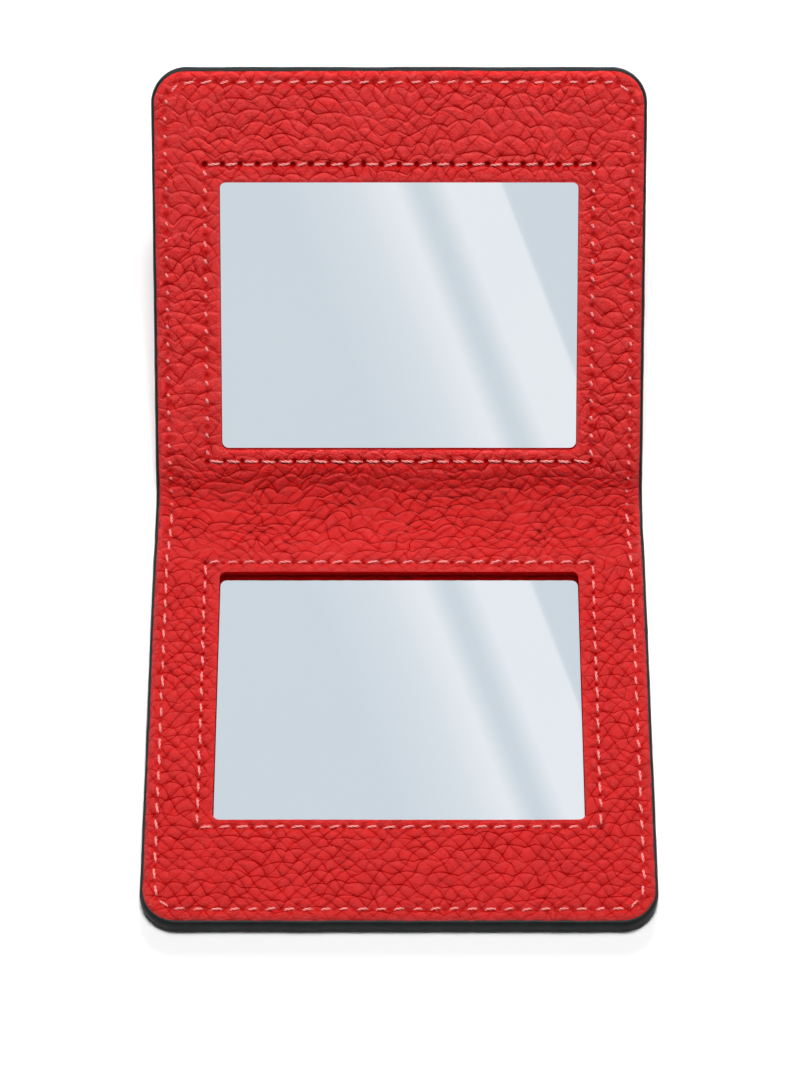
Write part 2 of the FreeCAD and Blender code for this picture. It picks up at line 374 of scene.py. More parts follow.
def raise_surface(tree, shader, height, strength, distance):
    """Gives a finish a fine relief, with its distance in metres."""
    bump = node(tree, "Bump", {"Height": height, "Strength": strength, "Distance": distance})
    tree.links.new(bump.outputs["Normal"], shader.inputs["Normal"])


def new_finish(name, **settings):
    """A new material with its Principled shader set up, ready for its nodes."""
    finish = bpy.data.materials.new(name)
    finish.use_nodes = True
    shader = finish.node_tree.nodes["Principled BSDF"]
    for key, value in settings.items():
        shader.inputs[key.replace("_", " ")].default_value = value
    return finish, finish.node_tree, shader


def near_creases(tree, off_middle, marked, start, full):
    """For each family, 0 up to start and then more, to full on a crease, as far as the crease is marked.
    off_middle is 0 midway between two creases and 0.5 on a crease."""
    # Sockets 6 to 10 take the value, its range and the range of the result, as vectors
    near = node(
        tree, "MapRange", {6: off_middle, 7: start, 8: (0.5, 0.5, 0.5), 10: full},
        data_type="FLOAT_VECTOR", interpolation_type="SMOOTHSTEP",
    )
    return node(tree, "VectorMath", {0: near.outputs[1], 1: marked}, operation="MULTIPLY").outputs[0]


def leather_finish(name, light, deep, crease_shade_colour, highlight_colour, front_leaf_shade):
    """Dyed leather: mottled red, with fine pores and a waxed shine, painted shade in its creases and needle
    holes and a painted highlight on the rims of its scales. The last argument is how far painted shade
    darkens the front leaf's colour, against 1 on the back leaf."""
    finish, tree, shader = new_finish(name, Roughness=0.4)
    lie = node(tree, "Attribute", attribute_name="lie").outputs["Vector"]
    net = node(tree, "Attribute", attribute_name="net").outputs["Vector"]
    marked = node(tree, "Attribute", attribute_name="marked").outputs["Vector"]
    hollow_shade = node(tree, "Attribute", attribute_name="hollow_shade").outputs["Fac"]
    past_fold = node(tree, "SeparateXYZ", {0: lie}).outputs["Y"]

    # Dye, mottled coarsely and finely
    mottle = noise_over(tree, lie, scale=0.35, detail=4.0, roughness=0.6)
    pores = noise_over(tree, lie, scale=3.2, detail=3.0, roughness=0.8)
    speckle = node(tree, "Mix", {0: 0.55, 2: mottle, 3: pores}, data_type="FLOAT").outputs[0]
    dye = two_tones(tree, speckle, deep, light, 0.36, 0.66)

    # Painted highlight on the rims of the scales, stronger on the back leaf, and painted shade that darkens
    # the front leaf against the back
    past_crease = node(tree, "VectorMath", {0: net}, operation="FRACTION").outputs[0]
    up_row = node(tree, "SeparateXYZ", {0: past_crease}).outputs["X"]
    rim = graded(tree, up_row, 0.66, 0.88, 0.0, 1.0, "SMOOTHSTEP")
    rim_highlight_share = graded(tree, past_fold, -13.0, -8.0, 0.12, 0.28)
    rim_highlight = combined(tree, "MULTIPLY", rim, rim_highlight_share)
    patchy_rim_highlight = combined(tree, "MULTIPLY", rim_highlight, speckle)
    highlighted_dye = node(tree, "Mix", {0: patchy_rim_highlight, 6: dye, 7: (*highlight_colour, 1)}, data_type="RGBA").outputs[2]
    # Painted shade: the front leaf's colour is darker than the back leaf's, blending across the fold
    tone = graded(tree, past_fold, -11.0, 5.0, front_leaf_shade, 1.0, "SMOOTHSTEP")
    shaded_dye = node(tree, "VectorMath", {0: highlighted_dye, "Scale": tone}, operation="SCALE").outputs[0]

    # Painted shade in the creases, as dark lines with soft shoulders, and in the needle holes and the seam
    # groove
    middle = (0.5, 0.5, 0.5)
    off_middle = node(tree, "VectorMath", {0: past_crease, 1: middle}, operation="SUBTRACT").outputs[0]
    off_middle = node(tree, "VectorMath", {0: off_middle}, operation="ABSOLUTE").outputs[0]
    lines = near_creases(tree, off_middle, marked, (0.42, 0.44, 0.44), (0.75, 0.6, 0.6))
    families = node(tree, "SeparateXYZ", {0: lines}).outputs
    deepest = combined(tree, "MAXIMUM", families["Y"], families["Z"])
    deepest = combined(tree, "MAXIMUM", families["X"], deepest)
    shoulders = near_creases(tree, off_middle, marked, (0.22, 0.22, 0.22), (0.6, 1.0, 1.0))
    every = (1.0, 1.0, 1.0)
    sunk = node(tree, "VectorMath", {0: shoulders, 1: every}, operation="DOT_PRODUCT").outputs["Value"]
    shouldered = combined(tree, "MULTIPLY_ADD", sunk, 0.09, deepest)
    crease_and_hole_shade = combined(tree, "MAXIMUM", hollow_shade, shouldered)
    shade = node(tree, "Mix", {0: crease_and_hole_shade, 6: shaded_dye, 7: (*crease_shade_colour, 1)}, data_type="RGBA").outputs[2]
    tree.links.new(shade, shader.inputs["Base Color"])

    # Waxed shine, which stays out of the creases, and the relief of the pores
    dry = graded(tree, crease_and_hole_shade, 0.0, 0.6, 0.185, 0.0)
    tree.links.new(dry, shader.inputs["Specular IOR Level"])
    wax = graded(tree, pores, 0.0, 1.0, 0.3, 0.42)
    tree.links.new(wax, shader.inputs["Roughness"])
    rough = combined(tree, "MULTIPLY", pores, 0.44)
    rise = combined(tree, "MULTIPLY_ADD", sunk, -0.09, rough)
    raise_surface(tree, shader, rise, strength=1.0, distance=0.001)
    return finish


# Raw cut leather, with painted shade that darkens it towards the foot of a window's wall
cut_foot = 2.4
cut_top = 3.5
raw_edge, tree, shader = new_finish("raw_cut_leather", Roughness=0.9, Specular_IOR_Level=0.0)
lie = node(tree, "Attribute", attribute_name="lie").outputs["Vector"]
fibres = noise_over(tree, lie, scale=6.0, detail=5.0, roughness=0.7)
dyed = two_tones(tree, fibres, (0.14, 0.0006, 0.0006), (0.26, 0.0015, 0.0015))
height = node(tree, "SeparateXYZ", {0: lie}).outputs["Z"]
foot_shade = graded(tree, height, cut_foot, cut_top, 0.45, 1.0)
shaded = node(tree, "VectorMath", {0: dyed, "Scale": foot_shade}, operation="SCALE").outputs[0]
tree.links.new(shaded, shader.inputs["Base Color"])

# The outside of the sheet, grained, grooved for its seam and rolled at its cut edge
cover_step = 0.246
groove_half_width = 0.44
groove_wall = 0.07
groove_depth = 0.3
grid_x = lines_between([-cut_half_width, cut_half_width], cover_step)
grid_s = lines_between([-cut_end, 0, cut_end], cover_step)
flat_x, flat_s = round_outer_corners(*np.meshgrid(grid_x, grid_s))
relief, _, _, net, marked = pebble_relief(flat_x, flat_s, flatter=0.4, seed=51)
to_seam = np.abs(to_rounded_box(flat_x, flat_s, seam_half_width, -seam_end, seam_end, seam_radius))
to_edge = -to_rounded_box(flat_x, flat_s, cut_half_width, -cut_end, cut_end, cut_radius)
groove = groove_depth / (1 + np.exp((to_seam - groove_half_width) / groove_wall))
edge_roll = 0.4 * np.clip(1 - to_edge, 0, 1) ** 2
firm = 1 - 0.6 * np.exp(-((to_seam / 0.7) ** 2))
outside = 0.08 - relief * firm * np.clip(to_edge / 1.2, 0.3, 1) + groove + edge_roll
cover_face = np.stack([flat_x, flat_s, np.clip(outside, 0, 0.6)], axis=-1)
cover_normals = grid_normals(folded(cover_face))
cover_back = np.full(flat_x.shape, cover_thickness)
# Painted shade along the bottom of the seam groove
cover_fields = {"hollow_shade": 0.5 * groove / groove_depth, "net": net, "marked": marked}
# The darkest colour here is painted shade for the creases, and the palest a painted highlight for the
# scales' rims
cover_finish = leather_finish(
    "cover_leather",
    light=(0.57, 0.005, 0.005),
    deep=(0.43, 0.002, 0.002),
    crease_shade_colour=(0.15, 0.0003, 0.0003),
    highlight_colour=(0.8, 0.08, 0.076),
    front_leaf_shade=1.0,
)
for leaf, side in (("front", -1), ("back", 1)):
    cover = half_sheet(
        f"{leaf}_cover_leather", cover_face, cover_normals, cover_back, cover_fields, side, faces_up=False
    )
    cover.data.materials.append(cover_finish)
    cover.data.materials.append(raw_edge)
    bend_with_fold(cover, side)
    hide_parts(f"{leaf}_cover", "spine_cover")


# Boards
# A thin backing board and a spacer frame as thick as the mirror, of pressed grey-brown fibre, in each leaf.
# They are glued between the cover and the lining, and skived away towards the spine.
board_finish, tree, shader = new_finish("fibre_board", Roughness=0.85)
place = node(tree, "TexCoord").outputs["Object"]
fibres = noise_over(tree, place, scale=1800.0, detail=6.0, roughness=0.7, distortion=1.5)
pulp = two_tones(tree, fibres, (0.26, 0.2, 0.13), (0.5, 0.41, 0.29))
tree.links.new(pulp, shader.inputs["Base Color"])
raise_surface(tree, shader, fibres, strength=0.4, distance=0.00005)


def give_finish(name, finish):
    """Gives a piece of the frame its finish in place of its plain one."""
    frame["nodes"][name].data.materials.clear()
    frame["nodes"][name].data.materials.append(finish)


for leaf in ("front", "back"):
    give_finish(f"{leaf}_backing_board", board_finish)
    give_finish(f"{leaf}_spacer_frame", board_finish)


# Mirror tapes
# A sheet of thin double-sided tape that holds each mirror down on its backing board.
# It is cloudy white film with adhesive on both faces, and lies wholly under the glass.
tape_finish, tree, shader = new_finish("cloudy_tape", Roughness=0.4)
place = node(tree, "TexCoord").outputs["Object"]
cloud = noise_over(tree, place, scale=300.0, detail=4.0)
film = two_tones(tree, cloud, (0.66, 0.66, 0.62), (0.86, 0.86, 0.83))
tree.links.new(film, shader.inputs["Base Color"])
for leaf in ("front", "back"):
    give_finish(f"{leaf}_mirror_tape", tape_finish)


# Mirrors
# A slab of silvered float glass in each leaf, held down by its tape and by the lining's lip over its edge.
# Its top is the silver, cool and faintly hazy, a little lower in the front leaf than in the back one.
glass_finish, tree, shader = new_finish(
    "silvered_glass", Metallic=1.0, Coat_Weight=0.4, Coat_Roughness=0.01, Coat_IOR=1.5
)
place = node(tree, "TexCoord").outputs["Object"]
breath = noise_over(tree, place, scale=45.0, detail=3.0)
silver = two_tones(tree, breath, (0.85, 0.885, 0.915), (0.87, 0.9, 0.925))
tree.links.new(silver, shader.inputs["Base Color"])
haze = graded(tree, breath, 0.0, 1.0, 0.005, 0.02)
tree.links.new(haze, shader.inputs["Roughness"])
glass_low, glass_high = (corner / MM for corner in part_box("front_mirror"))
near = mid_line - glass_high.y
far = mid_line - glass_low.y
corner_x = np.array([glass_low.x, glass_high.x, glass_high.x, glass_low.x])
slab = np.array([[3, 2, 1, 0], [4, 5, 6, 7], [0, 1, 5, 4], [1, 2, 6, 5], [2, 3, 7, 6], [3, 0, 4, 7]])
for leaf, side, silver_depth in (("front", -1, 0.35), ("back", 1, 0.0)):
    corner_s = side * np.array([near, near, far, far])
    top = np.stack([corner_x, corner_s, np.full(4, glass_high.z - silver_depth)], axis=-1)
    bottom = np.stack([corner_x, corner_s, np.full(4, glass_low.z)], axis=-1)
    faces = slab if side < 0 else slab[:, ::-1]
    glass = mesh_piece(f"{leaf}_mirror_glass", folded(np.concatenate([top, bottom])), [faces])
    glass.data.materials.append(glass_finish)
    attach(glass, f"{leaf}_leaf")
    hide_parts(f"{leaf}_mirror")


# Lining
# The inner sheet of the same pebbled leather, with a window cut over each mirror.
# It is bonded to the boards, sinks over their skived ends into the fold, and is drawn down along its seams.
leaf_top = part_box("front_lining")[1].z / MM
board_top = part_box("front_mirror")[1].z / MM
lining_thickness = leaf_top - board_top
spine_top = cover_thickness + lining_thickness
spine_reach = mid_line - cover_high.y
skive_length = 2.5
climb_start = 2.4
climb_length = 7.8
window_half_width = 27.2
window_radius = 1.0
window_seam_half_width = 29.4
window_seam_radius = 0.6
# By side, -1 in front and 1 behind: the ends of each window and of its seam, from the fold's mid-line
windows = {-1: (11.6, 53.1), 1: (11.3, 52.2)}
window_seams = {-1: (9.95, 54.3), 1: (9.46, 54.96)}
seam_draw = 0.35
seam_draw_reach = 7
stitch_pitch = 2.62
hole_reach = 1.7
# Radius of the painted shade round each needle hole, by side
hole_shade_radius = {-1: 0.36, 1: 0.46}
perimeter_hole_depth = 0.35
# Hole depths of a window's four runs, from the one at the fold round by the right
window_hole_depths = {-1: (0.55, 0.6, 0.5, 0.6), 1: (0.7, 0.4, 0.95, 0.4)}
lining_step = 0.186


def lining_rest(s):
    """Height of the lining's face without its grain: level on the boards, and lower across the spine."""
    climb = np.clip((np.abs(s) - climb_start) / climb_length, 0, 1)
    return spine_top + (leaf_top - spine_top) * climb**2 * (3 - 2 * climb)


def seam_x(s):
    """Half width of the perimeter seam, which is drawn in a little where it crosses the fold."""
    return seam_half_width - seam_draw * np.exp(-((s / seam_draw_reach) ** 2))


def to_perimeter_seam(x, s):
    """Millimetres to the perimeter seam."""
    straight_x = x * seam_half_width / seam_x(s)
    return np.abs(to_rounded_box(straight_x, s, seam_half_width, -seam_end, seam_end, seam_radius))


def window_ends(side):
    """The two ends of a window along s, the lower first."""
    near, far = windows[side]
    return sorted((side * near, side * far))


def window_seam_box(side):
    """Half width, two ends along s and corner radius of the seam round a window."""
    near, far = window_seams[side]
    return window_seam_half_width, *sorted((side * near, side * far)), window_seam_radius


def round_window_corners(x, s, side):
    """The same grid with the leather of a window's corners drawn in to the corner radius."""
    low, high = window_ends(side)
    r = window_radius
    over_x = np.abs(x) - window_half_width
    over_s = np.abs(s - (low + high) / 2) - (high - low) / 2
    back_x = np.clip(-over_x, 0, r)
    back_s = np.clip(-over_s, 0, r)
    turn_x = math.pi / 4 * (1 - back_x / r)
    turn_s = math.pi / 4 * (1 - back_s / r)
    beyond = over_x < over_s
    shift_x = np.where(beyond, -r + r * np.sin(turn_x) + back_x, -r + r * np.cos(turn_s))
    shift_s = np.where(beyond, -r + r * np.cos(turn_x), -r + r * np.sin(turn_s) + back_s)
    over = np.maximum(over_x, over_s)
    elsewhere = (over < -1e-9) | (over_x < -r) | (over_s < -r)
    fade = np.where(elsewhere, 0, np.clip(1 - over / (2 * r), 0, 1))
    return x + np.sign(x) * shift_x * fade, s + np.sign(s - (low + high) / 2) * shift_s * fade


def run_of_holes(start, end, pitch):
    """Needle holes from one corner of a seam to the next, evenly spaced."""
    start = np.array(start, float)
    end = np.array(end, float)
    count = round(np.linalg.norm(end - start) / pitch)
    return start + (end - start) * np.linspace(0, 1, count + 1)[:, None]


def window_runs(side):
    """Needle holes of a window's four straight seams, in order round it, with the first one at the fold."""
    half_width, low, high, _ = window_seam_box(side)
    fold_s, end_s = (high, low) if side < 0 else (low, high)
    corners = [(-half_width, fold_s), (half_width, fold_s), (half_width, end_s), (-half_width, end_s)]
    return [run_of_holes(corners[n], corners[(n + 1) % 4], stitch_pitch) for n in range(4)]


def round_the_leaf(half_width, end, radius, side, step):
    """Points along a leaf's three free sides, from the mid-line at the left round to it at the right."""
    turns = np.linspace(0, math.pi / 2, max(3, round(radius * math.pi / 2 / step)))
    along = lines_between([0, end - radius], step)
    across = lines_between([radius - half_width, half_width - radius], step)
    left = np.stack([np.full(along.shape, -half_width), along], axis=-1)
    corner_x = radius - half_width - radius * np.cos(turns)
    corner_s = end - radius + radius * np.sin(turns)
    corner = np.stack([corner_x, corner_s], axis=-1)
    free_end = np.stack([across[1:], np.full(len(across) - 1, end)], axis=-1)
    right_corner = (corner * [-1, 1])[::-1]
    right = (left * [-1, 1])[::-1]
    return np.concatenate([left, corner[1:], free_end, right_corner[1:], right[1:]]) * [1, side]


def perimeter_holes(side):
    """Needle holes of the perimeter seam on one half, from the mid-line round the leaf and back to it."""
    path = round_the_leaf(seam_half_width, seam_end, seam_radius, side, step=0.05)
    path[:, 0] *= seam_x(path[:, 1]) / seam_half_width
    run = np.concatenate([[0], np.cumsum(np.linalg.norm(np.diff(path, axis=0), axis=1))])
    count = round(run[-1] / stitch_pitch)
    at = np.linspace(0, run[-1], count + 1)
    return np.stack([np.interp(at, run, path[:, 0]), np.interp(at, run, path[:, 1])], axis=-1)


stops = [-cut_half_width, -window_half_width, window_half_width, cut_half_width]
grid_x = lines_between(stops, lining_step)
stops = [-cut_end, -windows[-1][1], -windows[-1][0], 0, windows[1][0], windows[1][1], cut_end]
grid_s = lines_between(stops, lining_step)
square_x, square_s = np.meshgrid(grid_x, grid_s)
flat_x, flat_s = round_outer_corners(square_x, square_s)
for side in (-1, 1):
    moved_x, moved_s = round_window_corners(flat_x, flat_s, side)
    flat_x = np.where(side * square_s > 0, moved_x, flat_x)
    flat_s = np.where(side * square_s > 0, moved_s, flat_s)
to_edge = -to_rounded_box(flat_x, flat_s, cut_half_width, -cut_end, cut_end, cut_radius)
to_seam = to_perimeter_seam(flat_x, flat_s)
to_window = np.full(flat_x.shape, 99.0)
for side in (-1, 1):
    lip = to_rounded_box(flat_x, flat_s, window_half_width, *window_ends(side), window_radius)
    to_window = np.minimum(to_window, np.abs(lip))
    to_seam = np.minimum(to_seam, np.abs(to_rounded_box(flat_x, flat_s, *window_seam_box(side))))

# The grain is calm on the front leaf, steep where the leather bunches in the fold, and flat at its edges
calm_start = 8
calm_length = 5
calm = np.clip(-(flat_s + calm_start) / calm_length, 0, 1)
relief, slope_x, slope_s, net, marked = pebble_relief(flat_x, flat_s, flatter=calm, seed=7)
bunched = np.exp(-(((flat_s + 1) / 6.5) ** 2))
slope_x = slope_x * (1 + 0.8 * bunched)
slope_s = slope_s * (1 + 1.8 * bunched)
strength = np.clip(to_edge / 1.3, 0.25, 1) * np.clip(to_window / 1.6, 0.3, 1)
strength = strength * (1 - 0.45 * np.exp(-((to_seam / 0.7) ** 2)))
# How strongly the painted crease shade shows: the rows more and the slants less where the leather bunches in
# the fold, and less at edges, seams and windows
marked[..., 1:] *= 1 - 0.2 * bunched[..., None]
showing = (strength + 0.25).clip(0, 1) * (1 + 0.35 * bunched)
marked = np.clip(marked * showing[..., None], 0, 1.2)

# The sheet dips along its seams, rolls over at its cut edges and lips, and sinks at each needle hole
seam_dip = 0.17 * np.exp(-((to_seam / 0.6) ** 2))
edge_roll = 0.5 * np.clip(1 - to_edge, 0, 1) ** 2
lip_roll = np.where(flat_s > 0, 0.36, 0.16) * np.clip(1 - to_window / 0.6, 0, 1) ** 2
wave = 0.05 * soft_noise(flat_x, flat_s, size=9, seed=31)
lining_d = lining_rest(flat_s) - seam_dip - edge_roll - lip_roll + wave
# Painted shade in and round each needle hole
lining_hollow_shade = np.zeros(flat_x.shape)
for side in (-1, 1):
    holes = [(*hole, perimeter_hole_depth) for hole in perimeter_holes(side)]
    for run, deep in zip(window_runs(side), window_hole_depths[side]):
        holes += [(*hole, deep) for hole in run]
    for hole_x, hole_s, deep in holes:
        rows = slice(*np.searchsorted(grid_s, (hole_s - hole_reach, hole_s + hole_reach)))
        columns = slice(*np.searchsorted(grid_x, (hole_x - hole_reach, hole_x + hole_reach)))
        off_hole = np.hypot(flat_x[rows, columns] - hole_x, flat_s[rows, columns] - hole_s)
        lining_d[rows, columns] -= deep * 0.5 * np.exp(-((off_hole / 0.4) ** 2))
        hole_shade = deep * 1.25 * np.exp(-((off_hole / hole_shade_radius[side]) ** 3))
        lining_hollow_shade[rows, columns] = np.clip(np.maximum(lining_hollow_shade[rows, columns], hole_shade), 0, 1)

lean = fold_turn(flat_s)
lining_normals = grid_normals(folded(np.stack([flat_x, flat_s, lining_d], axis=-1)))
lining_normals[..., 0] -= slope_x * strength
lining_normals[..., 1] -= slope_s * strength * np.cos(lean)
lining_normals[..., 2] -= slope_s * strength * np.sin(lean)
lining_normals /= np.linalg.norm(lining_normals, axis=-1, keepdims=True)
lining_face = np.stack([flat_x, flat_s, lining_d + relief * strength], axis=-1)
skive = np.clip((np.abs(flat_s) - spine_reach) / skive_length, 0, 1)
lining_back = cover_thickness + (board_top - cover_thickness) * skive
lining_fields = {"hollow_shade": lining_hollow_shade, "net": net, "marked": marked}
# The darkest colour here is painted shade for the creases, and the palest a painted highlight for the
# scales' rims
lining_finish = leather_finish(
    "lining_leather",
    light=(0.65, 0.0075, 0.007),
    deep=(0.465, 0.003, 0.0028),
    crease_shade_colour=(0.17, 0.0003, 0.0003),
    highlight_colour=(0.95, 0.12, 0.112),
    # Painted shade: the front leaf's colour is darkened to this share of the back leaf's
    front_leaf_shade=0.785,
)
columns = np.searchsorted(grid_x, (-window_half_width - 1e-6, window_half_width - 1e-6))
for leaf, side in (("front", -1), ("back", 1)):
    low, high = window_ends(side)
    rows = np.searchsorted(grid_s, (low - 1e-6, high - 1e-6))
    lining = half_sheet(
        f"{leaf}_lining_leather", lining_face, lining_normals, lining_back, lining_fields, side,
        faces_up=True, window=(*rows, *columns),
    )
    lining.data.materials.append(lining_finish)
    lining.data.materials.append(raw_edge)
    bend_with_fold(lining, side)
    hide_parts(f"{leaf}_lining", "spine_lining")


# Window stitches
# The seam that holds the lining down round each mirror: salmon twisted thread, two plies, sewn by machine.
# Each stitch comes up out of one needle hole, lies along the seam at a slant, and goes down the next hole.
plies = 2
ply_radius = 0.09
twist_radius = 0.095
ply_turns = 0.65
ply_rings = 21
ring_sides = 8
thread_sink = 0.34
seam_bottom = 0.1


def tube_faces(rings, sides):
    """Walls and end caps of a closed tube whose points go ring by ring."""
    ring = np.arange(rings * sides).reshape(rings, sides)
    beside = np.roll(ring, -1, axis=1)
    walls = np.stack([ring[:-1], ring[1:], beside[1:], beside[:-1]], axis=-1).reshape(-1, 4)
    return walls, np.stack([ring[0], ring[-1, ::-1]])


def thread_stitches(name, starts, ends, heights, looks, outward, seed):
    """Stitches as twisted thread between pairs of needle holes on flat leather, as one closed mesh. Each
    row of looks is a stitch's slant in degrees, share of the pitch, thickness, flatness and height.
    outward is 1 on the lining and -1 on the cover."""
    random = np.random.default_rng(seed)
    count = len(starts)
    slants, spans, thick, flatness, proud = looks.T
    middle = (starts + ends) / 2 + random.normal(0, 0.03, (count, 2))
    run = ends - starts
    length = np.linalg.norm(run, axis=1) * spans * (1 + random.normal(0, 0.08, count))
    turn = np.arctan2(run[:, 1], run[:, 0]) + np.radians(slants + random.normal(0, 3.5, count))
    along = np.stack([np.cos(turn), np.sin(turn)], axis=-1)
    across = np.stack([-np.sin(turn), np.cos(turn)], axis=-1)
    way = np.linspace(-1, 1, ply_rings)
    lift = proud[:, None] - (proud + thread_sink)[:, None] * np.abs(way) ** (2 + 4 * flatness[:, None])
    centre = middle[:, None] + along[:, None] * (way * length[:, None] / 2)[..., None]
    base = heights(centre[..., 0], centre[..., 1])
    first_turn = random.uniform(0, 6, (count, 1, 1))
    twist = 2 * math.pi * (np.arange(plies)[:, None] / plies + ply_turns * way) + first_turn
    side_turn = np.linspace(0, 2 * math.pi, ring_sides, endpoint=False)
    thin = 1 - 0.4 * np.abs(way) ** 3
    girth = thick[:, None, None, None] * thin[:, None]
    sideways = (twist_radius * np.cos(twist)[..., None] + ply_radius * np.cos(side_turn)) * girth
    upward = (twist_radius * np.sin(twist)[..., None] + ply_radius * np.sin(side_turn)) * girth
    flat = np.empty((count, plies, ply_rings, ring_sides, 3))
    flat[..., :2] = centre[:, None, :, None] + across[:, None, None, None] * sideways[..., None]
    flat[..., 2] = base[:, None, :, None] + outward * (lift[:, None, :, None] + upward)
    flat = flat.reshape(-1, 3)
    shift = np.arange(count * plies)[:, None, None] * ply_rings * ring_sides
    faces = [(part + shift).reshape(-1, part.shape[1]) for part in tube_faces(ply_rings, ring_sides)]
    if outward < 0:
        faces = [part[:, ::-1] for part in faces]
    piece = mesh_piece(name, folded(flat), faces)
    # Painted shade for the grooves of the twist: 1 on the crown of each ply, 0 where it turns in towards the
    # other
    twist_shading = np.broadcast_to(np.cos(side_turn - twist[..., None]), (count, plies, ply_rings, ring_sides))
    carry(piece, "twist_shading", (0.5 + 0.5 * twist_shading).reshape(-1, 1))
    carry(piece, "lie", flat)
    return piece


def on_lining(x, s):
    """Height of the lining's face in the bottom of a seam."""
    return lining_rest(s) - seam_bottom


thread_finish, tree, shader = new_finish(
    "salmon_thread", Roughness=0.5, Sheen_Weight=0.25, Sheen_Roughness=0.4
)
lie = node(tree, "Attribute", attribute_name="lie").outputs["Vector"]
twist_shading = node(tree, "Attribute", attribute_name="twist_shading").outputs["Fac"]
fuzz = noise_over(tree, lie, scale=9.0, detail=3.0)
# Painted shade: the thread's colour is darker in the grooves between its plies, mottled by its fuzz
shaded_strand = node(tree, "Mix", {0: 0.4, 2: twist_shading, 3: fuzz}, data_type="FLOAT").outputs[0]
dye = two_tones(tree, shaded_strand, (0.36, 0.03, 0.028), (0.8, 0.23, 0.21), 0.2, 0.75)
tree.links.new(dye, shader.inputs["Base Color"])
raise_surface(tree, shader, fuzz, strength=0.4, distance=0.00003)
# Looks of a window's four runs, from the one at the fold round by the right
window_stitch_looks = {
    -1: [
        (7, 0.66, 0.95, 0.7, 0.1),
        (7, 0.6, 1.0, 0.8, 0.1),
        (6, 0.64, 0.95, 0.8, 0.1),
        (7, 0.6, 1.0, 0.8, 0.1),
    ],
    1: [
        (-3, 0.8, 1.1, 1.0, 0.12),
        (22, 0.31, 1.2, 0.4, 0.06),
        (7, 0.66, 1.0, 0.8, 0.1),
        (22, 0.31, 1.2, 0.4, 0.06),
    ],
}
for leaf, side in (("front", -1), ("back", 1)):
    runs = window_runs(side)
    starts = np.concatenate([run[:-1] for run in runs])
    ends = np.concatenate([run[1:] for run in runs])
    looks = [np.full((len(run) - 1, 5), look) for run, look in zip(runs, window_stitch_looks[side])]
    sewn = thread_stitches(
        f"{leaf}_window_thread", starts, ends, on_lining, np.concatenate(looks), outward=1, seed=70 + side
    )
    sewn.data.materials.append(thread_finish)
    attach(sewn, f"{leaf}_leaf")
    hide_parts(f"{leaf}_window_stitches")


# Perimeter stitches
# The seam that closes the whole edge, in the same thread, through lining, boards and cover.
# Inside it lies in a soft valley of the lining, and outside in the groove of the cover.
cross_look = (7, 0.57, 0.95, 0.6, 0.07)
upright_look = (7, 0.6, 1.0, 0.75, 0.09)
tight_look = (24, 0.25, 1.1, 0.4, 0.05)
outer_look = (7, 0.74, 1.0, 0.8, 0.06)


def in_groove(x, s):
    """Height of the cover's outside in the bottom of its groove."""
    return np.full(np.shape(s), groove_depth)


for leaf, side in (("front", -1), ("back", 1)):
    holes = perimeter_holes(side)
    starts = holes[:-1]
    ends = holes[1:]
    upright = np.abs(ends[:, 1] - starts[:, 1]) > np.abs(ends[:, 0] - starts[:, 0])
    looks = np.array([cross_look] * len(starts))
    looks[upright] = upright_look if side < 0 else tight_look
    inside = thread_stitches(
        f"{leaf}_inner_thread", starts, ends, on_lining, looks, outward=1, seed=80 + side
    )
    looks[:] = outer_look
    outside = thread_stitches(
        f"{leaf}_outer_thread", starts, ends, in_groove, looks, outward=-1, seed=90 + side
    )
    for sewn in (inside, outside):
        sewn.data.materials.append(thread_finish)
        bend_with_fold(sewn, side)
        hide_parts(f"{leaf}_perimeter_stitches", "spine_stitches")


# Edge paint
# Charcoal flexible paint over the cut layers round every free edge, built up in coats to a soft dome.
# It is brushed on by hand, so its rim wavers a little against the leather and its face has faint lumps.
edge_bulge = cad_high.x / MM - cut_half_width
paint_step = 0.22
rim_drop = 0.45
paint_foot = 0.25
tuck = 0.3
tuck_foot = 0.6
paint_turns = np.radians(np.linspace(-90, 90, 15))
dome_out = np.cos(paint_turns) ** 0.75
dome_up = 0.5 + 0.5 * np.sin(paint_turns)
paint_finish, tree, shader = new_finish("charcoal_edge_paint", Specular_IOR_Level=0.06)
place = node(tree, "TexCoord").outputs["Object"]
lumps = noise_over(tree, place, scale=700.0, detail=4.0, roughness=0.55)
pigment = two_tones(tree, lumps, (0.005, 0.0063, 0.0063), (0.01, 0.0122, 0.0122), 0.35, 0.7)
tree.links.new(pigment, shader.inputs["Base Color"])
gloss = graded(tree, lumps, 0.0, 1.0, 0.4, 0.6)
tree.links.new(gloss, shader.inputs["Roughness"])
raise_surface(tree, shader, lumps, strength=0.35, distance=0.00005)
